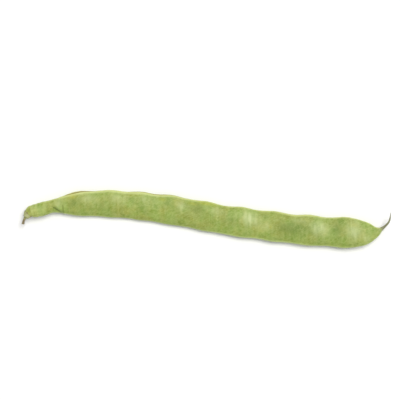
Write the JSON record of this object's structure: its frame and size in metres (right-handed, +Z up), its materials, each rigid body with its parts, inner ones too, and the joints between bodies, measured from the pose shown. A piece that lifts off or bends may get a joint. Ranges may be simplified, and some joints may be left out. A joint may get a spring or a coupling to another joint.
{
  "type": "green bean",
  "caption": "Flat green bean as picked, lying on one cheek: a long pod with low seed swellings, a dried hooked beak, and a calyx with a snapped stem at its neck.",
  "frame": {"origin": "on the surface that the bean rests on, under the middle of its bounding box", "axes": "+X runs along the pod from the stem to the beak, +Y towards the suture that carries the seeds, +Z up from the cheek that it rests on"},
  "size_m": [0.2466, 0.039, 0.0098],
  "materials": {
    "pod_skin": "soft satin skin, finely mottled and speckled, paler along the sutures",
    "calyx_skin": "dull, finely ribbed, drying at the teeth",
    "stem_bark": "rough and fibrous, dried brown"
  },
  "bodies": {
    "root": {"pod": "pod_skin", "calyx": "calyx_skin", "stem": "stem_bark"}
  },
  "joints": []
}
